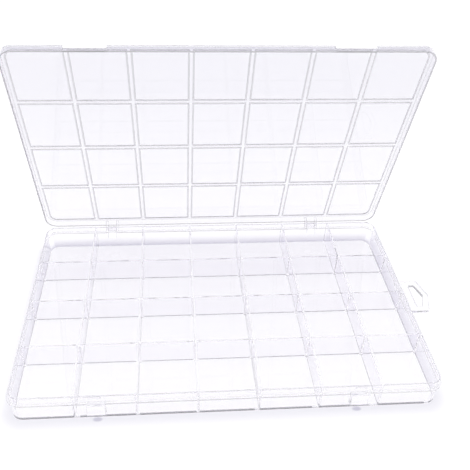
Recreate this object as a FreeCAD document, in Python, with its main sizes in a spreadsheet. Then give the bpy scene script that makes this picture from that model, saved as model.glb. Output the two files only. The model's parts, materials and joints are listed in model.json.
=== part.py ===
"""Clear plastic bead storage box: a shallow tray, a hinged lid and lift-out dividers.

The tray is one moulding. It holds the outer wall with the ledge that the lid lands on,
the column walls that run front to back, the guide slots for the dividers, the two hinge clips at
the back, the two catches at the front and the hang tab on the right side. The lid is one
moulding too, with its skirt, a closed rib loop over each compartment, the snap bars of
the latches and the hinge ears with their pins. The dividers are loose plates.

Millimetres. The origin is at the middle of the tray's flat underside, +X to the hang
tab, -Y to the front, +Z up. The lid stands open by lid_open_angle.
"""

import FreeCAD, Part
import math
import os
import re

import Sketcher

# Driving dimensions in millimetres, angles in degrees
SIZES = {
    # Tray shell
    "box_length": 340.0,
    "box_width": 216.0,
    "corner_radius": 11.0,
    "shoulder_height": 19.0,
    "ledge_thickness": 1.5,
    "foot_fillet": 0.4,
    "floor_thickness": 1.5,
    "floor_fillet": 1.2,
    "rim_height": 6.0,
    "rim_thickness": 1.2,
    # Compartments
    "column_count": 7,
    "row_count": 4,
    "column_wall_thickness": 1.25,
    "divider_thickness": 1.2,
    "divider_drop": 1.0,
    "divider_end_gap": 0.2,
    "divider_corner_cut": 1.8,
    "guide_width": 1.0,
    "guide_reach": 1.2,
    "guide_gap": 0.15,
    "guide_drop": 1.5,
    "seat_bite": 0.4,
    # Lid
    "lid_thickness": 1.6,
    "lid_edge_fillet": 1.2,
    "skirt_thickness": 1.4,
    "skirt_gap": 0.5,
    "headroom": 0.2,
    "rib_width": 1.0,
    "rib_height": 0.8,
    "rib_gap": 0.8,
    "lid_open_angle": 74.0,
    # Latches
    "latch_spacing": 209.0,
    "window_width": 33.0,
    "window_depth": 3.0,
    "snap_bar_height": 3.6,
    "bead_width": 13.0,
    "bead_height": 2.0,
    "bead_reach": 0.3,
    "bead_lift": 0.1,
    "catch_spacing": 204.0,
    "catch_width": 14.0,
    "catch_reach": 2.5,
    "catch_height": 13.5,
    "catch_slope": 1.5,
    # Hang tab
    "tab_width": 40.0,
    "tab_arm_reach": 18.0,
    "tab_peak_reach": 23.5,
    "tab_thickness": 2.5,
    "tab_drop": 0.5,
    "tab_fillet": 2.5,
    "eye_start": 8.6,
    "eye_width": 27.2,
    "eye_arm_reach": 14.0,
    "eye_peak_reach": 18.3,
    "eye_fillet": 1.2,
    # Hinge
    "hinge_spacing": 208.0,
    "hinge_gap": 4.0,
    "hinge_drop": 1.0,
    "pin_radius": 1.5,
    "pin_gap": 0.05,
    "clip_wall": 1.5,
    "clip_length": 8.0,
    "mouth_angle": 70.0,
    "mouth_direction": 70.0,
    "ear_thickness": 2.0,
    "ear_wall": 1.1,
    "ear_gap": 0.3,
    "ear_lift": 1.6,
    "web_drop": 5.0,
    "web_gap": 0.5,
    # How far a cut runs past the material
    "overrun": 4.0,
}

# Sizes and places that follow from the driving dimensions
DERIVED = {
    "rim_setback": "skirt_thickness + skirt_gap",
    "rim_length": "box_length - 2 * rim_setback",
    "rim_width": "box_width - 2 * rim_setback",
    "rim_corner": "corner_radius - rim_setback",
    "inner_length": "rim_length - 2 * rim_thickness",
    "inner_width": "rim_width - 2 * rim_thickness",
    "inner_corner": "rim_corner - rim_thickness",
    "tray_height": "shoulder_height + rim_height",
    "cavity_depth": "tray_height - floor_thickness",
    "wall_middle": "inner_width / 2 + rim_thickness / 2",
    "side_middle": "inner_length / 2 + rim_thickness / 2",
    "column_gaps": "column_count - 1",
    "row_gaps": "row_count - 1",
    "cell_length": "(inner_length - column_gaps * column_wall_thickness) / column_count",
    "cell_width": "(inner_width - row_gaps * divider_thickness) / row_count",
    "column_pitch": "cell_length + column_wall_thickness",
    "row_pitch": "cell_width + divider_thickness",
    "guide_height": "cavity_depth - guide_drop",
    "divider_length": "cell_length - 2 * divider_end_gap",
    "divider_height": "cavity_depth - divider_drop",
    "hinge_line": "box_width / 2 + hinge_gap",
    "hinge_height": "shoulder_height - hinge_drop",
    "bore_radius": "pin_radius + pin_gap",
    "clip_radius": "bore_radius + clip_wall",
    "ear_radius": "pin_radius + ear_wall",
    "ear_pitch": "clip_length + 2 * ear_gap + ear_thickness",
    "pin_length": "clip_length + 2 * ear_gap + 2 * ear_thickness",
    "lid_back": "0 - hinge_gap",
    "lid_middle": "lid_back - box_width / 2",
    "lid_front": "lid_back - box_width",
    "lid_edge": "hinge_drop",
    "skirt_depth": "rim_height + headroom",
    "lid_underside": "lid_edge + skirt_depth",
    "lid_top": "lid_underside + lid_thickness",
    "lid_inner_length": "box_length - 2 * skirt_thickness",
    "lid_inner_width": "box_width - 2 * skirt_thickness",
    "lid_inner_corner": "corner_radius - skirt_thickness",
    "field_length": "inner_length - 2 * rib_gap",
    "field_width": "inner_width - 2 * rib_gap",
    "field_corner": "inner_corner - rib_gap",
    "column_channel": "column_wall_thickness + 2 * rib_gap",
    "row_channel": "divider_thickness + 2 * rib_gap",
}

ALIASES = set(SIZES) | set(DERIVED)

# Two places closer than this are the same one
SAME_PLACE = 1e-4

# How many there are of a feature that comes in twos
PAIR = "2"


def formula(text):
    """The text with each size's name pointed at the sheet."""
    return re.sub(r"[a-z_]+", lambda word: "sizes." + word[0] if word[0] in ALIASES else word[0], text)


def make_sheet(document):
    sheet = document.addObject("Spreadsheet::Sheet", "sizes")
    rows = [(alias, str(value)) for alias, value in SIZES.items()]
    rows += [(alias, "=" + text) for alias, text in DERIVED.items()]
    for row, (alias, content) in enumerate(rows, start=1):
        sheet.set(f"A{row}", alias)
        sheet.set(f"B{row}", content)
        sheet.setAlias(f"B{row}", alias)
    document.recompute()
    return sheet


document = FreeCAD.newDocument("bead_storage_box")
sheet = make_sheet(document)


def value(text):
    """The number that a formula in sheet sizes gives now."""
    return float(sheet.evalExpression(text))


def origin_part(body, role):
    return next(part for part in body.Origin.OriginFeatures if part.Role == role)


def new_body(name):
    body = document.addObject("PartDesign::Body", name)
    body.Label = name
    return body


def new_sketch(body, name, plane, offset):
    """A sketch on one of the body's own origin planes, moved along its normal."""
    sketch = body.newObject("Sketcher::SketchObject", name)
    sketch.AttachmentSupport = (origin_part(body, plane), [""])
    sketch.MapMode = "FlatFace"
    sketch.setExpression("AttachmentOffset.Base.z", formula(offset))
    return sketch


def hold(sketch, kind, *places, size):
    """A driving constraint whose value is bound to the sheet."""
    index = sketch.addConstraint(Sketcher.Constraint(kind, *places, value(size)))
    sketch.setExpression(f"Constraints[{index}]", formula(size))


def hold_point(sketch, line, end, across, up):
    hold(sketch, "DistanceX", -1, 1, line, end, size=across)
    hold(sketch, "DistanceY", -1, 1, line, end, size=up)


def draw_polygon(sketch, corners):
    """A closed outline whose corners are pairs of formulas."""
    points = [FreeCAD.Vector(value(across), value(up)) for across, up in corners]
    lines = []
    for start, end in zip(points, points[1:] + points[:1]):
        lines.append(sketch.addGeometry(Part.LineSegment(start, end)))
    for line, following in zip(lines, lines[1:] + lines[:1]):
        sketch.addConstraint(Sketcher.Constraint("Coincident", line, 2, following, 1))
    for line, (across, up) in zip(lines, corners):
        hold_point(sketch, line, 1, across, up)


def draw_rectangle(sketch, left, bottom, length, width):
    right = f"{left} + {length}"
    top = f"{bottom} + {width}"
    draw_polygon(sketch, [(left, bottom), (right, bottom), (right, top), (left, top)])


def draw_rounded_rectangle(sketch, middle, length, width, radius):
    """A rectangle with round corners, its middle on the sketch's vertical axis."""
    half_length = value(length) / 2
    low = value(middle) - value(width) / 2
    high = value(middle) + value(width) / 2
    reach = value(radius)
    inset = half_length - reach
    quarter = math.pi / 2
    starts = [(-inset, low), (half_length, low + reach), (inset, high), (-half_length, high - reach)]
    ends = [(inset, low), (half_length, high - reach), (-inset, high), (-half_length, low + reach)]
    centres = [(inset, low + reach), (inset, high - reach), (-inset, high - reach), (-inset, low + reach)]
    lines = []
    arcs = []
    for turn in range(4):
        line = Part.LineSegment(FreeCAD.Vector(*starts[turn]), FreeCAD.Vector(*ends[turn]))
        circle = Part.Circle(FreeCAD.Vector(*centres[turn]), FreeCAD.Vector(0, 0, 1), reach)
        arc = Part.ArcOfCircle(circle, (turn - 1) * quarter, turn * quarter)
        lines.append(sketch.addGeometry(line))
        arcs.append(sketch.addGeometry(arc))
    for turn in range(4):
        sketch.addConstraint(Sketcher.Constraint("Tangent", lines[turn], 2, arcs[turn], 1))
        sketch.addConstraint(Sketcher.Constraint("Tangent", arcs[turn], 2, lines[(turn + 1) % 4], 1))
    for turn in range(1, 4):
        sketch.addConstraint(Sketcher.Constraint("Equal", arcs[0], arcs[turn]))
    for flat, upright in ((lines[0], lines[1]), (lines[2], lines[3])):
        sketch.addConstraint(Sketcher.Constraint("Horizontal", flat))
        sketch.addConstraint(Sketcher.Constraint("Vertical", upright))
    hold(sketch, "Radius", arcs[0], size=radius)
    hold(sketch, "DistanceX", -1, 1, lines[1], 1, size=f"({length}) / 2")
    hold(sketch, "DistanceX", lines[3], 1, lines[1], 1, size=length)
    hold(sketch, "DistanceY", -1, 1, lines[2], 1, size=f"{middle} + ({width}) / 2")
    hold(sketch, "DistanceY", lines[0], 1, lines[2], 1, size=width)


def draw_circle(sketch, across, up, radius):
    centre = FreeCAD.Vector(value(across), value(up))
    ring = sketch.addGeometry(Part.Circle(centre, FreeCAD.Vector(0, 0, 1), value(radius)))
    hold_point(sketch, ring, 3, across, up)
    hold(sketch, "Radius", ring, size=radius)


def feature(body, kind, name, sketch, length, backwards=False):
    made = body.newObject("PartDesign::" + kind, name)
    made.Profile = sketch
    made.Reversed = backwards
    made.setExpression("Length", formula(length))
    body.Tip = made
    return made


def pad(body, name, sketch, length, backwards=False):
    return feature(body, "Pad", name, sketch, length, backwards)


def pocket(body, name, sketch, length, backwards=False):
    """A cut that must take material away."""
    document.recompute()
    before = body.Shape.Volume
    made = feature(body, "Pocket", name, sketch, length, backwards)
    document.recompute()
    if body.Shape.Volume >= before:
        raise RuntimeError(f"{body.Label}: {name} cuts nothing")
    return made


def repeat(body, originals, axis, count, pitch, second_axis="", second_count="", second_pitch=""):
    """Copies of features along one origin axis, or along two."""
    made = body.newObject("PartDesign::LinearPattern", originals[-1].Name + "Pattern")
    made.Originals = originals
    made.Direction = (origin_part(body, axis), [""])
    made.Mode = "Extent"
    made.setExpression("Length", formula(f"({count} - 1) * {pitch}"))
    made.setExpression("Occurrences", formula(count))
    if second_axis:
        made.Direction2 = (origin_part(body, second_axis), [""])
        made.Mode2 = "Extent"
        made.setExpression("Length2", formula(f"({second_count} - 1) * {second_pitch}"))
        made.setExpression("Occurrences2", formula(second_count))
    body.Tip = made
    return made


def fillet(body, name, base, edges, radius):
    made = body.newObject("PartDesign::Fillet", name)
    made.Base = (base, edges)
    made.setExpression("Radius", formula(radius))
    body.Tip = made
    return made


def level_edges(shape, height):
    """Names of the edges that lie flat at one height."""
    names = []
    for number, edge in enumerate(shape.Edges, start=1):
        box = edge.BoundBox
        if max(abs(box.ZMin - height), abs(box.ZMax - height)) < SAME_PLACE:
            names.append(f"Edge{number}")
    return names


def make_tray():
    body = new_body("tray")

    # Upright outer wall, and the ledge around it that the lid's skirt lands on
    outline = new_sketch(body, "WallOutline", "XY_Plane", "0")
    draw_rounded_rectangle(outline, "0", "rim_length", "rim_width", "rim_corner")
    pad(body, "Wall", outline, "tray_height")
    outline = new_sketch(body, "LedgeOutline", "XY_Plane", "shoulder_height - ledge_thickness")
    draw_rounded_rectangle(outline, "0", "box_length", "box_width", "corner_radius")
    pad(body, "Ledge", outline, "ledge_thickness")
    outline = new_sketch(body, "CavityOutline", "XY_Plane", "tray_height")
    draw_rounded_rectangle(outline, "0", "inner_length", "inner_width", "inner_corner")
    cavity = pocket(body, "Cavity", outline, "cavity_depth")
    floor_edges = level_edges(cavity.Shape, value("floor_thickness"))
    rounded = fillet(body, "FloorFillet", cavity, floor_edges, "floor_fillet")
    document.recompute()
    fillet(body, "FootFillet", rounded, level_edges(rounded.Shape, 0), "foot_fillet")

    # Column walls, joined into the front and back walls
    outline = new_sketch(body, "ColumnWallOutline", "XY_Plane", "floor_thickness")
    first_wall = "0 - inner_length / 2 + cell_length"
    draw_rectangle(outline, first_wall, "0 - wall_middle", "column_wall_thickness", "2 * wall_middle")
    wall = pad(body, "ColumnWall", outline, "cavity_depth")
    repeat(body, [wall], "X_Axis", "column_gaps", "column_pitch")

    add_catches(body)
    add_hang_tab(body)
    add_hinge_clips(body)

    # Guide ribs: two at each end of a divider, one on each of its faces
    outline = new_sketch(body, "GuideOutline", "XY_Plane", "floor_thickness")
    left_end = "0 - inner_length / 2 - seat_bite"
    right_end = "0 - inner_length / 2 + cell_length - guide_reach"
    before = "0 - inner_width / 2 + cell_width - guide_gap - guide_width"
    behind = "0 - inner_width / 2 + cell_width + divider_thickness + guide_gap"
    for end in (left_end, right_end):
        for side in (before, behind):
            draw_rectangle(outline, end, side, "guide_reach + seat_bite", "guide_width")
    guides = pad(body, "Guides", outline, "guide_height")
    repeat(body, [guides], "X_Axis", "column_count", "column_pitch", "Y_Axis", "row_gaps", "row_pitch")
    return body


def add_catches(body):
    """Front catches under the ledge, and the beads that the lid's snap bars pass."""
    front = "0 - box_width / 2 - catch_reach"
    inside = "0 - wall_middle"
    outline = new_sketch(body, "CatchOutline", "YZ_Plane", "0 - catch_spacing / 2 - catch_width / 2")
    draw_polygon(outline, [
        (inside, "shoulder_height"),
        (front, "shoulder_height"),
        (front, "shoulder_height - catch_height + catch_slope"),
        (inside, "shoulder_height - catch_height"),
    ])
    catch = pad(body, "Catch", outline, "catch_width")
    repeat(body, [catch], "X_Axis", PAIR, "catch_spacing")

    face = "0 - rim_width / 2"
    foot = "shoulder_height + snap_bar_height + bead_lift"
    outline = new_sketch(body, "BeadOutline", "YZ_Plane", "0 - latch_spacing / 2 - bead_width / 2")
    draw_polygon(outline, [
        (face + " + seat_bite", foot),
        (face, foot),
        (face + " - bead_reach", foot + " + bead_reach"),
        (face + " - bead_reach", foot + " + bead_height - bead_reach"),
        (face, foot + " + bead_height"),
        (face + " + seat_bite", foot + " + bead_height"),
    ])
    bead = pad(body, "Bead", outline, "bead_width")
    repeat(body, [bead], "X_Axis", PAIR, "latch_spacing")


def add_hang_tab(body):
    """A flat loop on the right side, with a peaked outer edge and a peaked eye."""
    side = "box_length / 2"
    outline = new_sketch(body, "TabOutline", "XY_Plane", "shoulder_height - tab_drop - tab_thickness")
    draw_polygon(outline, [
        ("side_middle", "0 - tab_width / 2"),
        (side + " + tab_arm_reach", "0 - tab_width / 2"),
        (side + " + tab_peak_reach", "0"),
        (side + " + tab_arm_reach", "tab_width / 2"),
        ("side_middle", "tab_width / 2"),
    ])
    draw_polygon(outline, [
        (side + " + eye_start", "0 - eye_width / 2"),
        (side + " + eye_arm_reach", "0 - eye_width / 2"),
        (side + " + eye_peak_reach", "0"),
        (side + " + eye_arm_reach", "eye_width / 2"),
        (side + " + eye_start", "eye_width / 2"),
    ])
    tab = pad(body, "HangTab", outline, "tab_thickness")
    document.recompute()
    outer_edges, eye_edges = tab_corner_edges(tab.Shape)
    rounded = fillet(body, "TabFillet", tab, outer_edges, "tab_fillet")
    document.recompute()
    outer_edges, eye_edges = tab_corner_edges(rounded.Shape)
    fillet(body, "EyeFillet", rounded, eye_edges, "eye_fillet")


def tab_corner_edges(shape):
    """Names of the upright straight edges at the tab's outer corners and at its eye's."""
    outer = []
    eye = []
    for number, edge in enumerate(shape.Edges, start=1):
        box = edge.BoundBox
        upright = box.XLength + box.YLength < SAME_PLACE
        if not upright or box.XMin < value("box_length / 2 + eye_start") - SAME_PLACE:
            continue
        beside_eye = abs(box.YMin) < value("eye_width / 2") + SAME_PLACE
        within_eye = box.XMin < value("box_length / 2 + eye_peak_reach") + SAME_PLACE
        (eye if beside_eye and within_eye else outer).append(f"Edge{number}")
    return outer, eye


def add_hinge_clips(body):
    """Clips on the back wall that hold the lid's pins, each with a mouth to snap it in."""
    start = "0 - hinge_spacing / 2 - clip_length / 2"
    outline = new_sketch(body, "ClipWebOutline", "YZ_Plane", start)
    draw_polygon(outline, [
        ("wall_middle", "hinge_height - clip_radius - web_drop"),
        ("hinge_line", "hinge_height - clip_radius"),
        ("hinge_line", "hinge_height"),
        ("wall_middle", "shoulder_height - web_gap"),
    ])
    web = pad(body, "ClipWeb", outline, "clip_length")
    outline = new_sketch(body, "ClipOutline", "YZ_Plane", start)
    draw_circle(outline, "hinge_line", "hinge_height", "clip_radius")
    clip = pad(body, "Clip", outline, "clip_length")
    outline = new_sketch(body, "BoreOutline", "YZ_Plane", start)
    draw_circle(outline, "hinge_line", "hinge_height", "bore_radius")
    bore = pocket(body, "ClipBore", outline, "clip_length", backwards=True)
    outline = new_sketch(body, "MouthOutline", "YZ_Plane", start)
    corners = [("hinge_line", "hinge_height")]
    for turn in ("mouth_direction - mouth_angle / 2", "mouth_direction + mouth_angle / 2"):
        corners.append((
            f"hinge_line + (clip_radius + overrun) * cos({turn})",
            f"hinge_height + (clip_radius + overrun) * sin({turn})",
        ))
    draw_polygon(outline, corners)
    mouth = pocket(body, "ClipMouth", outline, "clip_length", backwards=True)
    repeat(body, [web, clip, bore, mouth], "X_Axis", PAIR, "hinge_spacing")


def make_lid():
    """The lid, drawn closed about its hinge axis and then turned open."""
    body = new_body("lid")
    outline = new_sketch(body, "LidOutline", "XY_Plane", "lid_edge")
    draw_rounded_rectangle(outline, "lid_middle", "box_length", "box_width", "corner_radius")
    shell = pad(body, "LidShell", outline, "skirt_depth + lid_thickness")
    document.recompute()
    fillet(body, "LidFillet", shell, level_edges(shell.Shape, value("lid_top")), "lid_edge_fillet")
    outline = new_sketch(body, "LidCavityOutline", "XY_Plane", "lid_edge")
    draw_rounded_rectangle(outline, "lid_middle", "lid_inner_length", "lid_inner_width", "lid_inner_corner")
    pocket(body, "LidCavity", outline, "skirt_depth", backwards=True)

    add_latch_windows(body)
    add_hinge_ears(body)
    add_rib_loops(body)

    body.Placement = FreeCAD.Placement(
        FreeCAD.Vector(0, value("hinge_line"), value("hinge_height")),
        FreeCAD.Rotation(FreeCAD.Vector(-1, 0, 0), value("lid_open_angle")),
    )
    body.setExpression("Placement.Base.y", formula("hinge_line"))
    body.setExpression("Placement.Base.z", formula("hinge_height"))
    body.setExpression("Placement.Rotation.Angle", formula("lid_open_angle"))
    return body


def add_rib_loops(body):
    """A closed loop of rib over each compartment: one frame and pairs of bars, cut apart."""
    low_side = "lid_middle - field_width / 2"
    root = "lid_underside + seat_bite"
    depth = "rib_height + seat_bite"
    outline = new_sketch(body, "FrameOutline", "XY_Plane", root)
    draw_rounded_rectangle(outline, "lid_middle", "field_length", "field_width", "field_corner")
    inner = [f"{size} - 2 * rib_width" for size in ("field_length", "field_width")]
    draw_rounded_rectangle(outline, "lid_middle", *inner, "field_corner - rib_width")
    pad(body, "RibFrame", outline, depth, backwards=True)

    column_line = "0 - inner_length / 2 + cell_length + column_wall_thickness / 2"
    row_line = "lid_middle - inner_width / 2 + cell_width + divider_thickness / 2"
    outline = new_sketch(body, "ColumnRibOutline", "XY_Plane", root)
    for left in (column_line + " - column_channel / 2 - rib_width", column_line + " + column_channel / 2"):
        draw_rectangle(outline, left, low_side, "rib_width", "field_width")
    bars = pad(body, "ColumnRibs", outline, depth, backwards=True)
    repeat(body, [bars], "X_Axis", "column_gaps", "column_pitch")
    outline = new_sketch(body, "RowRibOutline", "XY_Plane", root)
    for low in (row_line + " - row_channel / 2 - rib_width", row_line + " + row_channel / 2"):
        draw_rectangle(outline, "0 - field_length / 2", low, "field_length", "rib_width")
    bars = pad(body, "RowRibs", outline, depth, backwards=True)
    repeat(body, [bars], "Y_Axis", "row_gaps", "row_pitch")

    outline = new_sketch(body, "ColumnChannelOutline", "XY_Plane", "lid_underside - rib_height")
    left = column_line + " - column_channel / 2"
    draw_rectangle(outline, left, low_side + " - rib_gap", "column_channel", "field_width + 2 * rib_gap")
    channel = pocket(body, "ColumnChannel", outline, "rib_height", backwards=True)
    repeat(body, [channel], "X_Axis", "column_gaps", "column_pitch")
    outline = new_sketch(body, "RowChannelOutline", "XY_Plane", "lid_underside - rib_height")
    left = "0 - field_length / 2 - rib_gap"
    draw_rectangle(outline, left, row_line + " - row_channel / 2", "field_length + 2 * rib_gap", "row_channel")
    channel = pocket(body, "RowChannel", outline, "rib_height", backwards=True)
    repeat(body, [channel], "Y_Axis", "row_gaps", "row_pitch")


def add_latch_windows(body):
    """Windows through the front edge, each leaving a springy snap bar along the skirt."""
    outline = new_sketch(body, "WindowOutline", "YZ_Plane", "0 - latch_spacing / 2 - window_width / 2")
    draw_rectangle(
        outline, "lid_front - overrun", "lid_edge + snap_bar_height", "overrun + window_depth",
        "lid_top + overrun - lid_edge - snap_bar_height",
    )
    window = pocket(body, "LatchWindow", outline, "window_width", backwards=True)
    repeat(body, [window], "X_Axis", PAIR, "latch_spacing")


def draw_ear(sketch):
    """A disc round the hinge axis, joined to the skirt by its two outer tangents."""
    across = "lid_back - skirt_thickness / 2"
    low, high = "lid_edge + ear_lift", "lid_top - lid_edge_fillet"
    radius = value("ear_radius")
    turns = []
    ends = []
    for up, side in ((low, 1), (high, -1)):
        end = FreeCAD.Vector(value(across), value(up))
        bearing = math.atan2(end.y, end.x)
        turns.append(bearing + side * math.acos(radius / end.Length))
        ends.append(end)
    touches = [FreeCAD.Vector(radius * math.cos(turn), radius * math.sin(turn)) for turn in turns]
    circle = Part.Circle(FreeCAD.Vector(), FreeCAD.Vector(0, 0, 1), radius)
    foot = sketch.addGeometry(Part.LineSegment(ends[0], touches[0]))
    nose = sketch.addGeometry(Part.ArcOfCircle(circle, turns[0], turns[1] + 2 * math.pi))
    brow = sketch.addGeometry(Part.LineSegment(touches[1], ends[1]))
    root = sketch.addGeometry(Part.LineSegment(ends[1], ends[0]))
    sketch.addConstraint(Sketcher.Constraint("Tangent", foot, 2, nose, 1))
    sketch.addConstraint(Sketcher.Constraint("Tangent", nose, 2, brow, 1))
    sketch.addConstraint(Sketcher.Constraint("Coincident", brow, 2, root, 1))
    sketch.addConstraint(Sketcher.Constraint("Coincident", root, 2, foot, 1))
    sketch.addConstraint(Sketcher.Constraint("Coincident", nose, 3, -1, 1))
    hold(sketch, "Radius", nose, size="ear_radius")
    hold_point(sketch, foot, 1, across, low)
    hold_point(sketch, root, 1, across, high)


def add_hinge_ears(body):
    """Ears on the back skirt, two to a hinge, with a pin between them."""
    start = "0 - hinge_spacing / 2 - pin_length / 2"
    outline = new_sketch(body, "EarOutline", "YZ_Plane", start)
    draw_ear(outline)
    ear = pad(body, "Ear", outline, "ear_thickness")
    repeat(body, [ear], "X_Axis", PAIR, "ear_pitch", "X_Axis", PAIR, "hinge_spacing")
    outline = new_sketch(body, "PinOutline", "YZ_Plane", start)
    draw_circle(outline, "0", "0", "pin_radius")
    pin = pad(body, "Pin", outline, "pin_length")
    repeat(body, [pin], "X_Axis", PAIR, "hinge_spacing")


def make_divider(column, row):
    """A plate that drops between the guide ribs, its lower corners cut clear of the floor fillet."""
    body = new_body(f"divider_c{column + 1}_r{row + 1}")
    outline = new_sketch(body, "PlateOutline", "XZ_Plane", "0 - divider_thickness / 2")
    draw_polygon(outline, [
        ("divider_corner_cut - divider_length / 2", "0"),
        ("divider_length / 2 - divider_corner_cut", "0"),
        ("divider_length / 2", "divider_corner_cut"),
        ("divider_length / 2", "divider_height"),
        ("0 - divider_length / 2", "divider_height"),
        ("0 - divider_length / 2", "divider_corner_cut"),
    ])
    pad(body, "Plate", outline, "divider_thickness")
    across = f"(cell_length - inner_length) / 2 + {column} * column_pitch"
    along = f"cell_width + (divider_thickness - inner_width) / 2 + {row} * row_pitch"
    body.setExpression("Placement.Base.x", formula(across))
    body.setExpression("Placement.Base.y", formula(along))
    body.setExpression("Placement.Base.z", formula("floor_thickness"))
    return body


def write_parts(bodies):
    """Check every object and shape, then write each sub-part to its own file."""
    document.recompute()
    for item in document.Objects:
        if "Invalid" in item.State or "Error" in item.State:
            raise RuntimeError(f"{item.Label} is {item.State}")
    for body in bodies:
        shape = body.Shape
        if shape.isNull() or not shape.isValid() or len(shape.Solids) != 1:
            raise RuntimeError(f"{body.Label} has no single valid solid")
    os.makedirs("parts", exist_ok=True)
    for body in bodies:
        body.Shape.exportStep(f"parts/{body.Label}.step")
        box = body.Shape.BoundBox
        print(f"{body.Label}: {box.XLength:.1f} x {box.YLength:.1f} x {box.ZLength:.1f} mm, "
              f"{body.Shape.Volume / 1000:.2f} cm3")


dividers = [
    make_divider(column, row)
    for column in range(int(value("column_count")))
    for row in range(int(value("row_gaps")))
]
write_parts([make_tray(), make_lid(), *dividers])
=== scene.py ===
# %% [markdown]
# # A clear bead storage box
# A bead storage box is almost all edges. It is moulded from clear polystyrene, so what
# the eye reads is not its colour but the thin grey lines where a wall ends, and a faint
# lavender cast in the walls that are looked along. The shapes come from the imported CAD
# model. This lesson rounds their edges, gives them their plastic, and puts them on a
# white sheet under a studio sky, in front of a camera that stands where the
# photographer's did.

# %% Load the frame
import json
import math

import bpy
from mathutils import Matrix, Vector

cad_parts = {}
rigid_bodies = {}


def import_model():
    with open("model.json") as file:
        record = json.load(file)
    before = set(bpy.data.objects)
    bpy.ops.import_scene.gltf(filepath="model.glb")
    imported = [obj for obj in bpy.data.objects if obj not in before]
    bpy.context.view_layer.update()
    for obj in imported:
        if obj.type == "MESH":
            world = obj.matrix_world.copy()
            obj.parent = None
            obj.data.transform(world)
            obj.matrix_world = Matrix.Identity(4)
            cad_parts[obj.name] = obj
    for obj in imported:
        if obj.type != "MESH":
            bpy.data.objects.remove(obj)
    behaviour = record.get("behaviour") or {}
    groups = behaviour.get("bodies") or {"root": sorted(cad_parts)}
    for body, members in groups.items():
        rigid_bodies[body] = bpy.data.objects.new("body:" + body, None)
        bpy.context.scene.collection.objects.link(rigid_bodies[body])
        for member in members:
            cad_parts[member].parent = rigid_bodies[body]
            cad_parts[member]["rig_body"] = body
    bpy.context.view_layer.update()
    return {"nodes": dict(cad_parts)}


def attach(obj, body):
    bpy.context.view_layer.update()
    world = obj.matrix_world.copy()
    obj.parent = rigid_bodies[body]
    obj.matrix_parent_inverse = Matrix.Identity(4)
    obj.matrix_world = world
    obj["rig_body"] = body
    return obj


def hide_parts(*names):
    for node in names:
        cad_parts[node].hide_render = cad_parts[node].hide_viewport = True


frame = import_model()
print("moulded pieces:", len(frame["nodes"]))

# %% [markdown]
# ## Where the camera stands
# The camera stands a little left of the middle, above the front edge, and looks down
# into the tray. It could be placed by eye, but then the grid of walls never quite falls
# on its lines, so its place and its tilt were solved from the outline of the tray. The
# picture is a crop of a larger one, so the lens is shifted a little.

# %% Camera
PHOTO_WIDTH = 470
FOCAL_PIXELS = 610.0
LENS_MIDDLE = (218.93, 239.70)
CAMERA_PLACE = Vector((-0.03958, -0.39860, 0.40264))
CAMERA_PITCH = 0.66478
CAMERA_YAW = 0.09139
CAMERA_ROLL = 0.0358
NEAREST = 0.01


def camera_turn(pitch, yaw, roll):
    """The camera's own X, Y and Z directions as the columns of a matrix."""
    flat = math.cos(pitch)
    ahead = Vector((math.sin(yaw) * flat, math.cos(yaw) * flat, -math.sin(pitch)))
    level = Vector((math.cos(yaw), -math.sin(yaw), 0))
    upward = level.cross(ahead)
    right = math.cos(roll) * level + math.sin(roll) * upward
    up = -math.sin(roll) * level + math.cos(roll) * upward
    return Matrix((right, up, -ahead)).transposed()


lens = bpy.data.cameras.new("photo_lens")
lens.lens = FOCAL_PIXELS / PHOTO_WIDTH * lens.sensor_width
lens.shift_x = 0.5 - LENS_MIDDLE[0] / PHOTO_WIDTH
lens.shift_y = LENS_MIDDLE[1] / PHOTO_WIDTH - 0.5
lens.clip_start = NEAREST
camera = bpy.data.objects.new("photo_camera", lens)
turn = camera_turn(CAMERA_PITCH, CAMERA_YAW, CAMERA_ROLL)
camera.matrix_world = Matrix.Translation(CAMERA_PLACE) @ turn.to_4x4()
bpy.context.scene.collection.objects.link(camera)
bpy.context.scene.camera = camera
print("focal length in mm:", round(lens.lens, 1))

# %% [markdown]
# ## Wiring materials
# All the materials here are small trees of shader nodes. They could be wired in the
# shader editor. In code, one helper makes a node, sets its modes, and fills each input
# with a value or with another node's output, so that a material reads from top to
# bottom.

# %% A helper for shader nodes
def add_node(tree, kind, inputs=None, **modes):
    """A new node. Each input takes a value or another node's output."""
    node = tree.nodes.new(kind)
    for name, mode in modes.items():
        setattr(node, name, mode)
    for name, source in (inputs or {}).items():
        if isinstance(source, bpy.types.NodeSocket):
            tree.links.new(source, node.inputs[name])
        else:
            node.inputs[name].default_value = source
    return node


def new_material(name):
    material = bpy.data.materials.new(name)
    material.use_nodes = True
    material.node_tree.nodes.clear()
    return material, material.node_tree


# %% [markdown]
# Most of the nodes in these trees do one small sum each. A short helper for every kind
# of sum keeps the materials down to the lines that say something about the plastic.

# %% Helpers for sums and mixes
def reckon(tree, operation, *values):
    """One sum on numbers, such as ADD or MAXIMUM. A comparison gives 1 where it holds."""
    return add_node(tree, "ShaderNodeMath", dict(enumerate(values)), operation=operation).outputs[0]


def reckon_vector(tree, operation, *values):
    """One sum on vectors. LENGTH and DOT_PRODUCT give a number."""
    node = add_node(tree, "ShaderNodeVectorMath", dict(enumerate(values)), operation=operation)
    return node.outputs["Value" if operation in ("LENGTH", "DOT_PRODUCT") else "Vector"]


def part_of(tree, vector, axis):
    """How far a vector goes along X, Y or Z."""
    return add_node(tree, "ShaderNodeSeparateXYZ", {"Vector": vector}).outputs[axis]


def run(tree, value, start, end, low=0.0, high=1.0, curve="LINEAR"):
    """A number that runs from low to high as the value runs from start to end."""
    inputs = {"Value": value, "From Min": start, "From Max": end, "To Min": low, "To Max": high}
    return add_node(tree, "ShaderNodeMapRange", inputs, interpolation_type=curve).outputs["Result"]


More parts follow.
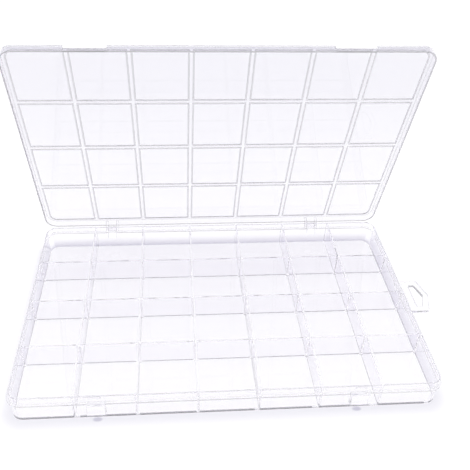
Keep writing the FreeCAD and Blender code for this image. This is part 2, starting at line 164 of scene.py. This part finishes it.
def mix_colours(tree, share, first, second):
    """The first colour where the share is 0 and the second where it is 1."""
    inputs = {"Factor": share, "A": first, "B": second}
    return add_node(tree, "ShaderNodeMix", inputs, data_type="RGBA").outputs["Result"]


# %% [markdown]
# ## The white sheet
# The box stands on a sheet of matt white paper that fills the picture. The foot rests a
# hair above it, as moulded plastic does on paper, or else the floor of the tray would
# turn black where the two faces share one plane. Clear walls bend the light away from
# the paper right beside them. That leaves a soft lavender shade round the foot, the
# strongest at the back under the hinge, a trace of it under the tray, and a small spot
# in front of each catch. Left to the path tracer, this shade comes out as specks, so it
# is painted on the paper, by the distance from the foot's rounded outline.

# %% Shade round the foot
FOOT_HALF = (0.1681, 0.1061, 0)
FOOT_CORNER = 0.0091
SHADE_REACH = 0.016
FRONT_SHADE = 0.42
BACK_SHADE = 0.75
UNDER_FRONT = 0.03
UNDER_BACK = 0.14


def foot_shade(tree, place):
    """A little shade under the foot, more beside it, fading out. Both deepen to the back."""
    inset = [half - FOOT_CORNER for half in FOOT_HALF[:2]]
    flat = reckon_vector(tree, "MULTIPLY", reckon_vector(tree, "ABSOLUTE", place), (1, 1, 0))
    beyond = reckon_vector(tree, "MAXIMUM", reckon_vector(tree, "SUBTRACT", flat, (*inset, 0)), (0, 0, 0))
    distance = reckon_vector(tree, "LENGTH", beyond)
    fading = run(tree, distance, FOOT_CORNER, FOOT_CORNER + SHADE_REACH, 1, 0, curve="SMOOTHSTEP")
    depth = part_of(tree, place, "Y")
    beside = run(tree, depth, -FOOT_HALF[1], FOOT_HALF[1], FRONT_SHADE, BACK_SHADE)
    under = run(tree, depth, -FOOT_HALF[1], FOOT_HALF[1], UNDER_FRONT, UNDER_BACK)
    shades = {
        "Factor": reckon(tree, "GREATER_THAN", distance, FOOT_CORNER),
        "A": under, "B": reckon(tree, "MULTIPLY", fading, beside),
    }
    return add_node(tree, "ShaderNodeMix", shades).outputs["Result"]


# %% A spot in front of each catch
CATCH_SPOT = (0.102, -0.1082, 0)
SPOT_REACH = (0.0062, 0.0034, 1)
SPOT_CORE = 0.3
SPOT_SHADE = 1.0


def catch_shade(tree, place):
    """Both catches stand equally far from the middle, so the left one is folded onto the right one."""
    aside = reckon(tree, "ABSOLUTE", part_of(tree, place, "X"))
    folded = add_node(tree, "ShaderNodeCombineXYZ", {"X": aside, "Y": part_of(tree, place, "Y")}).outputs[0]
    past = reckon_vector(tree, "SUBTRACT", folded, CATCH_SPOT)
    rings = reckon_vector(tree, "LENGTH", reckon_vector(tree, "DIVIDE", past, SPOT_REACH))
    return run(tree, rings, SPOT_CORE, 1, SPOT_SHADE, 0, curve="SMOOTHSTEP")


# %% [markdown]
# The paper itself is matt, with a grain so fine that it only takes the shine off. A
# displaced mesh would need millions of faces for that, so the grain is a bump.

# %% Helpers for patches and bumps
SOFT_PATCHES = 2.0


def noise(tree, place, scale, detail=SOFT_PATCHES):
    """Cloudy patches between 0 and 1. More detail breaks up their edges."""
    inputs = {"Vector": place, "Scale": scale, "Detail": detail}
    return add_node(tree, "ShaderNodeTexNoise", inputs).outputs["Fac"]


def bump(tree, height, strength, distance):
    inputs = {"Height": height, "Strength": strength, "Distance": distance}
    return add_node(tree, "ShaderNodeBump", inputs).outputs["Normal"]


# %% Paint and lay the sheet
SHEET_SIZE = (2.4, 3.0)
SHEET_PLACE = (0, 0.5, -0.0002)
PAPER = (0.93, 0.93, 0.93, 1)
SHADE = (0.55, 0.54, 0.62, 1)
PAPER_ROUGHNESS = 0.9
FIBRE_SCALE = 900.0
FIBRE_STRENGTH = 0.05
FIBRE_HEIGHT = 0.0001


def paint_sheet():
    material, tree = new_material("white_paper")
    place = add_node(tree, "ShaderNodeTexCoord").outputs["Object"]
    amount = reckon(tree, "MAXIMUM", foot_shade(tree, place), catch_shade(tree, place))
    paper = add_node(tree, "ShaderNodeBsdfPrincipled", {
        "Base Color": mix_colours(tree, amount, PAPER, SHADE),
        "Roughness": PAPER_ROUGHNESS,
        "Specular IOR Level": 0.0,
        "Normal": bump(tree, noise(tree, place, FIBRE_SCALE), FIBRE_STRENGTH, FIBRE_HEIGHT),
    })
    add_node(tree, "ShaderNodeOutputMaterial", {"Surface": paper.outputs[0]})
    return material


bpy.ops.object.select_all(action="DESELECT")
bpy.ops.mesh.primitive_plane_add(size=1)
sheet = bpy.context.object
sheet.name = "sheet"
bpy.ops.transform.resize(value=(*SHEET_SIZE, 1))
bpy.ops.transform.translate(value=SHEET_PLACE)
bpy.ops.object.transform_apply(location=True, rotation=False, scale=True)
sheet.data.materials.append(paint_sheet())
print("sheet in m:", SHEET_SIZE)

# %% [markdown]
# ## The studio sky
# Clear plastic shows whatever stands round it. A broad soft light hangs overhead. Below
# it lies a dimmer band of the room, and at the horizon the sheet sweeps up, as bright
# as the paper. Lamps could do the same, but each would leave its own hard shine on the
# plates, so the light comes from the sky alone. The paper is lit by all of it. The
# plastic sees it evened out between two levels, because at its full contrast the bands
# would lie on the lid as stripes. What the camera sees past the sheet is plain white.

# %% Sky
OVERHEAD = (1, 1, 1, 1)
DIM_ROOM = (0.27, 0.266, 0.285, 1)
SWEPT_UP = (0.56, 0.555, 0.57, 1)
SKY_BANDS = ((0.30, SWEPT_UP), (0.45, DIM_ROOM), (0.62, DIM_ROOM), (0.90, OVERHEAD))
SKY_LEAN = (0, -0.25, 1)
SKY_STRENGTH = 1.84
DIMMEST_SEEN = 0.76
BRIGHTEST_SEEN = 1.04

sky = bpy.data.worlds.new("studio")
sky.use_nodes = True
tree = sky.node_tree
tree.nodes.clear()
direction = add_node(tree, "ShaderNodeTexCoord").outputs["Generated"]
height = reckon_vector(tree, "DOT_PRODUCT", direction, SKY_LEAN)
ramp = add_node(tree, "ShaderNodeValToRGB", {"Fac": height})
stops = ramp.color_ramp.elements
while len(stops) < len(SKY_BANDS):
    stops.new(1)
for stop, (position, colour) in zip(stops, SKY_BANDS):
    stop.position = position
    stop.color = colour
bands = ramp.outputs["Color"]
dimmest, brightest = [(level / SKY_STRENGTH,) * 3 for level in (DIMMEST_SEEN, BRIGHTEST_SEEN)]
evened = reckon_vector(tree, "MINIMUM", reckon_vector(tree, "MAXIMUM", bands, dimmest), brightest)
rays = add_node(tree, "ShaderNodeLightPath").outputs
in_plastic = reckon(tree, "MAXIMUM", rays["Is Transmission Ray"], rays["Is Glossy Ray"])
lighting = mix_colours(tree, in_plastic, bands, evened)
around = mix_colours(tree, rays["Is Camera Ray"], lighting, OVERHEAD)
glow = add_node(tree, "ShaderNodeBackground", {"Color": around, "Strength": SKY_STRENGTH})
add_node(tree, "ShaderNodeOutputWorld", {"Surface": glow.outputs[0]})
bpy.context.scene.world = sky
bpy.context.scene.view_settings.view_transform = "Standard"
print("sky strength:", SKY_STRENGTH)

# %% [markdown]
# Light that enters the edge of a clear plate is caught between its faces and runs on
# for dozens of bounces. That is what draws the edge of a wall darker than its faces, so
# the path tracer gets enough bounces to follow it.

# %% Bounces
LIGHT_BOUNCES = 48
STRAIGHT_BOUNCES = 64

paths = bpy.context.scene.cycles
paths.max_bounces = LIGHT_BOUNCES
paths.transmission_bounces = LIGHT_BOUNCES
paths.glossy_bounces = LIGHT_BOUNCES
paths.transparent_max_bounces = STRAIGHT_BOUNCES
print("bounces:", LIGHT_BOUNCES, "and straight on:", STRAIGHT_BOUNCES)

# %% [markdown]
# ## Clear polystyrene
# Polystyrene bends light a little more than window glass does, with an index of
# refraction of 1.59. The material has 1.5, because these walls mirror the room as
# faintly as glass does. Three things make it look moulded and not polished:
#
# - a cast, a trace of lavender from the blue toner that hides the resin's yellow,
# - haze, cloudy patches where the melt cooled a little faster,
# - flow, long shallow waves in the surface along the way that the melt ran.

# %% Haze and flow
REFRACTION = 1.5
HAZE_SCALE = 22.0
HAZE_DETAIL = 3.0
HAZE_ROUGHNESS = (0.0, 0.05)
FLOW_STRETCH = (8.0, 30.0, 30.0)
FLOW_DETAIL = 1.0
FLOW_STRENGTH = 0.12
FLOW_HEIGHT = 0.0001


def haze(tree, place):
    """Roughness that drifts in patches, from quite clear to a breath of haze."""
    return run(tree, noise(tree, place, HAZE_SCALE, HAZE_DETAIL), 0, 1, *HAZE_ROUGHNESS)


def flow(tree, place):
    """Shallow waves, stretched along the box."""
    stretched = reckon_vector(tree, "MULTIPLY", place, FLOW_STRETCH)
    return bump(tree, noise(tree, stretched, 1.0, FLOW_DETAIL), FLOW_STRENGTH, FLOW_HEIGHT)


# %% [markdown]
# A ray that has bounced on for long inside a plate comes out wherever the plate is
# least perfect. To follow it there would take hundreds of bounces, so after a dozen it
# goes straight on with a tint. The tint is dark in the floor plate, where the light is
# lost to the paper, and light in the thin walls.

# %% Light that is caught
LONG_TRAPPED = 12
FLOOR_PLATE_TOP = 0.0016
PLATE_RUN = 0.004
# At this blend, a layer weight is one less the cosine of the slant.
COSINE_BLEND = 0.5
PLATE_SLANT = 0.35
FLOOR_LEAK = (0.4, 0.395, 0.42, 1)
WALL_LEAK = (0.988, 0.986, 0.993, 1)


def facing(tree, blend):
    """From 0 where the light meets a face squarely to 1 where it only grazes it."""
    return add_node(tree, "ShaderNodeLayerWeight", {"Blend": blend}).outputs["Facing"]


def straight_on(tree, tint):
    return add_node(tree, "ShaderNodeBsdfTransparent", {"Color": tint}).outputs[0]


def leak(tree, place, path):
    """Dark only on a short, slanting run low down, which is one between the floor's faces."""
    above = reckon(tree, "GREATER_THAN", part_of(tree, place, "Z"), FLOOR_PLATE_TOP)
    far_run = reckon(tree, "GREATER_THAN", path["Ray Length"], PLATE_RUN)
    steep = reckon(tree, "LESS_THAN", facing(tree, COSINE_BLEND), PLATE_SLANT)
    in_wall = reckon(tree, "MAXIMUM", above, reckon(tree, "MAXIMUM", far_run, steep))
    return straight_on(tree, mix_colours(tree, in_wall, FLOOR_LEAK, WALL_LEAK))


# %% [markdown]
# A shadow ray can't be bent on its way to the light, so plain glass would cast a black
# shadow. For shadows, and for the light that comes back from the paper, the plastic is
# a thin tinted film, darker where the light meets it edge on. The same film takes over
# where a joint in the plastic can't be seen, which each material tells by how much
# light it lets out.

# %% The plastic
FILM_BLEND = 0.3


def thin_film(tree, film):
    """The film's two colours are those seen squarely and edge on."""
    return straight_on(tree, mix_colours(tree, facing(tree, FILM_BLEND), *film))


def mix_shaders(tree, share, first, second):
    return add_node(tree, "ShaderNodeMixShader", {0: share, 1: first, 2: second}).outputs[0]


def clear_plastic(name, cast, film, let_out=0.0):
    """The cast is a function that wires up the tint. What is let out is a number or such a function."""
    material, tree = new_material(name)
    places = add_node(tree, "ShaderNodeTexCoord").outputs
    place = places["Object"]
    path = add_node(tree, "ShaderNodeLightPath").outputs
    plastic = add_node(tree, "ShaderNodeBsdfPrincipled", {
        "Base Color": cast(tree, places),
        "Roughness": haze(tree, place),
        "IOR": REFRACTION,
        "Transmission Weight": 1.0,
        "Normal": flow(tree, place),
    }).outputs[0]
    trapped = reckon(tree, "GREATER_THAN", path["Ray Depth"], LONG_TRAPPED)
    lit = mix_shaders(tree, trapped, plastic, leak(tree, place, path))
    to_light = reckon(tree, "MAXIMUM", path["Is Shadow Ray"], path["Is Diffuse Ray"])
    amount = let_out(tree, places) if callable(let_out) else let_out
    passing = reckon(tree, "MAXIMUM", to_light, amount)
    surface = mix_shaders(tree, passing, lit, thin_film(tree, film))
    add_node(tree, "ShaderNodeOutputMaterial", {"Surface": surface})
    return material


# %% [markdown]
# ## Casts and painted shade
# The tray's floor is looked through squarely and stays almost white. Its front and back walls carry a trace
# of the cast, and the column walls, which are looked along, carry most of it. So the tray's tint follows
# the way that a face points. Along its foot the tray is painted dark, a painted shade for the dark line
# where it meets the paper. The shade is only on the outer side of a face, so light that meets the face from
# within the plastic passes it by.

# %% The tray's cast and painted foot shade
TRAY_LEVEL = (0.998, 0.997, 0.999, 1)
TRAY_UPRIGHT = (0.985, 0.982, 0.992, 1)
COLUMN_WALL = (0.945, 0.937, 0.97, 1)
FOOT_SHADE_LINE = (0.4, 0.4, 0.41, 1)
FOOT_SHADE_LINE_TOP = 0.001


def past_shade_band(tree, above):
    """1 above the band of painted shade, and 1 for light that meets a face from within."""
    within = add_node(tree, "ShaderNodeNewGeometry").outputs["Backfacing"]
    return reckon(tree, "MAXIMUM", above, within)


def tray_cast(tree, places):
    way = reckon_vector(tree, "ABSOLUTE", places["Normal"])
    upright = mix_colours(tree, part_of(tree, way, "X"), TRAY_UPRIGHT, COLUMN_WALL)
    clear = mix_colours(tree, part_of(tree, way, "Z"), upright, TRAY_LEVEL)
    # The lowest millimetre of the outer faces is painted dark: painted shade for the dark line along the
    # foot.
    above = reckon(tree, "GREATER_THAN", part_of(tree, places["Object"], "Z"), FOOT_SHADE_LINE_TOP)
    return mix_colours(tree, past_shade_band(tree, above), FOOT_SHADE_LINE, clear)


# %% [markdown]
# The rest of the pieces drift between two tints in the same patches as the haze. The dividers are lavender,
# and their foot is painted dark, a painted shade for the line where they stand on the floor. The rounded
# edges are painted greyer than any wall, those of the lid more so, and the edge that the lid lands on the
# darkest: painted shade for the dark lines that clear edges draw. The lid's plate has no patches. A painted
# shade leaves it clearest near its hinge, where it stands close to the paper, and greyer towards its free
# edge.

# %% Casts and painted shade of dividers, edges and lid
DIVIDER_TINTS = ((0.968, 0.962, 0.984, 1), (0.982, 0.978, 0.99, 1))
DIVIDER_FOOT_SHADE = (0.3, 0.295, 0.32, 1)
DIVIDER_FOOT_SHADE_TOP = (0.0025, 0.0028)
# Painted shade: the grey of the rounded edges, of the lid's rib flanks and of the edge that the lid lands
# on.
EDGE_SHADE_TINTS = ((0.74, 0.732, 0.77, 1), (0.64, 0.63, 0.67, 1))
LID_RIB_SHADE_TINTS = ((0.55, 0.545, 0.57, 1), (0.43, 0.425, 0.45, 1))
LID_FOOT_SHADE_TINTS = ((0.38, 0.375, 0.39, 1), (0.26, 0.255, 0.27, 1))
LID_NEAR_HINGE = (0.975, 0.972, 0.985, 1)
LID_FREE_EDGE_SHADED = (0.85, 0.845, 0.885, 1)
LID_SHADE_FADE = (0.02, 0.20)


def patchy(tints):
    """A cast that drifts in patches from the first tint to the second."""
    def cast(tree, places):
        return mix_colours(tree, noise(tree, places["Object"], HAZE_SCALE), *tints)
    return cast


def divider_cast(tree, places):
    # The divider's foot is painted dark: painted shade for the line where it stands on the floor.
    above = run(tree, part_of(tree, places["Object"], "Z"), *DIVIDER_FOOT_SHADE_TOP)
    return mix_colours(tree, past_shade_band(tree, above), DIVIDER_FOOT_SHADE, patchy(DIVIDER_TINTS)(tree, places))


def lid_cast_and_shade(tree, places):
    # Painted shade: the plate greys from its hinge towards its free edge.
    away = run(tree, part_of(tree, places["Object"], "Z"), *LID_SHADE_FADE)
    return mix_colours(tree, away, LID_NEAR_HINGE, LID_FREE_EDGE_SHADED)


# %% [markdown]
# ## Where light is let out
# In a perfect model, light that is piped along a wall comes out at its end as a dark or
# bright tick. On the real box the ends hardly show: a divider's end is lost between its
# guide ribs, the ribs themselves are too low to see, and a column wall runs into the
# front and back walls without a seam. There the light inside is let out through the
# film.

# %% Ends and joints
LET_OUT = 0.92
COLUMN_PITCH = 0.047857
END_REACH = 0.0022
JOINED_FROM, JOINED_TO = 0.0985, 0.1045
FACES_SIDEWAYS = 0.5


def leaving(tree, *tests):
    """How much of the light within leaves, which is none where one of the tests fails."""
    amount = add_node(tree, "ShaderNodeNewGeometry").outputs["Backfacing"]
    for test in (*tests, LET_OUT):
        amount = reckon(tree, "MULTIPLY", amount, test)
    return amount


def divider_ends(tree, places):
    half = COLUMN_PITCH / 2
    past = reckon(tree, "ADD", part_of(tree, places["Object"], "X"), half)
    off = reckon(tree, "ABSOLUTE", reckon(tree, "WRAP", past, half, -half))
    return leaving(tree, reckon(tree, "LESS_THAN", off, END_REACH))


def column_wall_ends(tree, places):
    across = part_of(tree, reckon_vector(tree, "ABSOLUTE", places["Object"]), "Y")
    after = reckon(tree, "GREATER_THAN", across, JOINED_FROM)
    before = reckon(tree, "LESS_THAN", across, JOINED_TO)
    sideways = part_of(tree, reckon_vector(tree, "ABSOLUTE", places["Normal"]), "X")
    return leaving(tree, after, before, reckon(tree, "GREATER_THAN", sideways, FACES_SIDEWAYS))


# %% [markdown]
# The box is moulded from one resin, so all its plastics come from one recipe. They differ only in their
# cast and painted shade, their film and the light that they let out. Each kind of piece has its own list,
# and a face picks from it by its slot.

# %% The plastics
TRAY_FILM = ((0.999, 0.998, 1, 1), (0.982, 0.98, 0.988, 1))
DIVIDER_FILM = ((0.999, 0.998, 1, 1), (0.95, 0.945, 0.965, 1))
EDGE_FILM = ((0.97, 0.965, 0.98, 1), (0.95, 0.945, 0.96, 1))
LID_FILM = ((0.955, 0.95, 0.968, 1), (0.86, 0.85, 0.9, 1))

PLASTICS = {
    "tray": (
        clear_plastic("tray_polystyrene", tray_cast, TRAY_FILM, column_wall_ends),
        clear_plastic("rounded_edge_shade_polystyrene", patchy(EDGE_SHADE_TINTS), EDGE_FILM),
        clear_plastic("guide_rib_polystyrene", tray_cast, TRAY_FILM, LET_OUT),
    ),
    "lid": (
        clear_plastic("lid_shaded_polystyrene", lid_cast_and_shade, LID_FILM),
        clear_plastic("lid_rib_shade_polystyrene", patchy(LID_RIB_SHADE_TINTS), LID_FILM),
        clear_plastic("lid_foot_shade_polystyrene", patchy(LID_FOOT_SHADE_TINTS), LID_FILM),
    ),
    "divider": (clear_plastic("divider_polystyrene", divider_cast, DIVIDER_FILM, divider_ends),),
}
WALL_SLOT = 0
EDGE_SLOT = 1
GUIDE_RIB_SLOT = 2
LID_FOOT_SLOT = 2
for kind, plastics in PLASTICS.items():
    print(kind, "wears", ", ".join(plastic.name for plastic in plastics))

# %% [markdown]
# ## Rounding the edges
# No moulded edge is sharp: the steel of the mould is broken by a stroke of a stone, and the melt doesn't
# fill its corners quite. The rounding could be faked in the material, but only a real bevel bends the light
# that makes the grey lines, and the bevel's faces take a grey of painted shade that deepens them. Each
# piece is a copy of its CAD solid. A CAD mesh comes as loose triangles, so the copy is merged first, and
# its flat faces are put together where that keeps their normals.

# %% Copy and merge
SAME_POINT = 2e-6
FLAT = math.radians(0.5)


def select_only(piece):
    bpy.ops.object.select_all(action="DESELECT")
    piece.select_set(True)
    bpy.context.view_layer.objects.active = piece


def merged_copy(node, name):
    """The node's mesh on an object of its own, joined up at its seams."""
    piece = bpy.data.objects.new(name, node.data.copy())
    bpy.context.scene.collection.objects.link(piece)
    select_only(piece)
    bpy.ops.object.mode_set(mode="EDIT")
    bpy.ops.mesh.select_all(action="SELECT")
    bpy.ops.mesh.remove_doubles(threshold=SAME_POINT)
    bpy.ops.mesh.select_all(action="SELECT")
    bpy.ops.mesh.dissolve_limited(angle_limit=FLAT, delimit={"NORMAL"})
    bpy.ops.mesh.select_all(action="SELECT")
    bpy.ops.mesh.quads_convert_to_tris()
    bpy.ops.mesh.tris_convert_to_quads()
    bpy.ops.object.mode_set(mode="OBJECT")
    return piece


# %% [markdown]
# A divider only touches the tray's floor at a few high spots. Its underside is raised by a tenth of a
# millimetre, which leaves the film of air that shows as a line, deepened by the painted shade on the
# divider's foot.

# %% Air under a divider
AIR_FILM = 0.0001
SAME_LEVEL = 1e-5


def raise_underside(piece):
    lowest = min(point.co.z for point in piece.data.vertices)
    for point in piece.data.vertices:
        if point.co.z < lowest + SAME_LEVEL:
            point.co.z += AIR_FILM


# %% [markdown]
# A bevel rounds each edge that is sharper than 40 degrees. The photograph shows the
# crispest lines along the tops of the tray's walls, softer ones lower down, and the
# softest on the lid, so the bevel is a tenth of a millimetre at the top, two tenths
# below it and close to three on the lid. A divider's underside stays sharp. The bevel
# operator would give all edges one width, so the modifier is used, with a weight per
# edge.

# %% How round each edge is
SHARP = math.radians(40)
WALL_TOP = 0.0235
TOP_ROUND = 0.3
LOWER_ROUND = 0.6
LID_ROUND = 0.9


def roundness(kind, lower_end):
    """The share of the full bevel that an edge gets, by the height of its lower end."""
    if kind == "lid":
        return LID_ROUND
    return TOP_ROUND if lower_end > WALL_TOP else LOWER_ROUND


def weigh_edges(piece, kind):
    select_only(piece)
    bpy.ops.object.mode_set(mode="EDIT")
    bpy.ops.mesh.select_mode(type="EDGE")
    bpy.ops.mesh.select_all(action="DESELECT")
    bpy.ops.mesh.edges_select_sharp(sharpness=SHARP)
    bpy.ops.object.mode_set(mode="OBJECT")
    weights = piece.data.attributes.new("bevel_weight_edge", "FLOAT", "EDGE")
    lowest = min(point.co.z for point in piece.data.vertices)
    for edge in piece.data.edges:
        ends = [piece.data.vertices[index].co.z for index in edge.vertices]
        underneath = kind == "divider" and max(ends) < lowest + SAME_LEVEL
        if edge.select and not underneath:
            weights.data[edge.index].value = roundness(kind, min(ends))


# %% [markdown]
# The bevel gets normals weighted by the area of the faces beside it, so that the flat
# walls stay flat to the light and only the narrow bevels turn.

# %% Bevel and normals
EDGE_ROUND = 0.0003
BEVEL_FACES = 2
SMOOTH = math.radians(60)
FACE_WEIGHT = 100


def round_edges(piece, kind):
    weigh_edges(piece, kind)
    select_only(piece)
    bevel = piece.modifiers.new("rounding", "BEVEL")
    bevel.width = EDGE_ROUND
    bevel.segments = BEVEL_FACES
    # The new bevel faces take the edge plastic, whose grey is painted shade.
    bevel.material = EDGE_SLOT
    bevel.limit_method = "WEIGHT"
    bevel.use_clamp_overlap = False
    bpy.ops.object.modifier_apply(modifier=bevel.name)
    bpy.ops.object.shade_smooth_by_angle(angle=SMOOTH)
    even = piece.modifiers.new("even_light", "WEIGHTED_NORMAL")
    even.mode = "FACE_AREA"
    even.weight = FACE_WEIGHT
    even.keep_sharp = True
    bpy.ops.object.modifier_apply(modifier=even.name)


# %% [markdown]
# ## Which face gets which plastic and painted shade
# On the real tray the outer wall's edges, its rim and the hang loop's upright faces stand out as grey
# lines, so these faces take the edge plastic, whose grey is painted shade. The edges inside it don't, and
# the guide ribs can hardly be seen. The faces could be painted one by one, but each of these places has a
# simple rule, so they are picked by where they lie.

# %% Faces of the tray
WALL_START = Vector((0.1655, 0.1035))
RIM_FROM = 0.0247
LOOP_FROM = 0.1702
UPRIGHT_BELOW = 0.5
DIVIDER_ROWS = (-0.05275, 0, 0.05275)
RIB_SPREAD = 0.0022
GUIDES_END = 0.1672


def tray_slot(face):
    place = face.center
    upright = abs(face.normal.z) < UPRIGHT_BELOW
    outer = abs(place.x) > WALL_START.x or abs(place.y) > WALL_START.y
    by_divider = min(abs(place.y - row) for row in DIVIDER_ROWS) < RIB_SPREAD
    if upright and by_divider and abs(place.x) < GUIDES_END and place.z > FLOOR_PLATE_TOP:
        return GUIDE_RIB_SLOT
    # The rim's outer faces and the hang loop's upright faces take the edge plastic, whose grey is painted
    # shade.
    if (outer and place.z > RIM_FROM) or (upright and place.x > LOOP_FROM):
        return EDGE_SLOT
    return face.material_index if outer else WALL_SLOT


# %% [markdown]
# The lid is stored open, so its faces are sorted by their height above the hinge line, square to its plate.
# The edge that lands on the tray's ledge gets the darkest painted shade, and the thin layer with the flanks
# of the ribs gets the grey one. A divider is of one plastic all over.

# %% Faces of the lid and the dividers
HINGE_LINE = Vector((0, 0.112, 0.018))
LID_OPEN = math.radians(74)
LID_UP = Vector((0, math.sin(LID_OPEN), math.cos(LID_OPEN)))
RIB_LAYER = (0.0063, 0.00715)
SKIRT_FOOT = 0.001


def lid_slot(face):
    height = (face.center - HINGE_LINE).dot(LID_UP)
    # The lid's landing edge and its rib flanks take plastics whose grey is painted shade.
    if abs(height - SKIRT_FOOT) < SAME_LEVEL:
        return LID_FOOT_SLOT
    return EDGE_SLOT if RIB_LAYER[0] < height < RIB_LAYER[1] else face.material_index


def divider_slot(face):
    return WALL_SLOT


SLOT_OF = {"tray": tray_slot, "lid": lid_slot, "divider": divider_slot}

# %% [markdown]
# ## Putting the box together
# Tray, lid and the 21 dividers go through the same steps. Each finished piece rides on
# the body of its node, so it moves with the lid or lifts out with its divider.

# %% Dress every node
def dress(name, node):
    kind = name.split("_")[0]
    piece = merged_copy(node, name + "_clear")
    if kind == "divider":
        raise_underside(piece)
    piece.data.materials.clear()
    for plastic in PLASTICS[kind]:
        piece.data.materials.append(plastic)
    round_edges(piece, kind)
    for face in piece.data.polygons:
        face.material_index = SLOT_OF[kind](face)
    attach(piece, node["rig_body"])
    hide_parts(name)
    return piece


pieces = [dress(name, node) for name, node in list(frame["nodes"].items())]
print("dressed:", len(pieces), "pieces,", sum(len(piece.data.polygons) for piece in pieces), "faces")
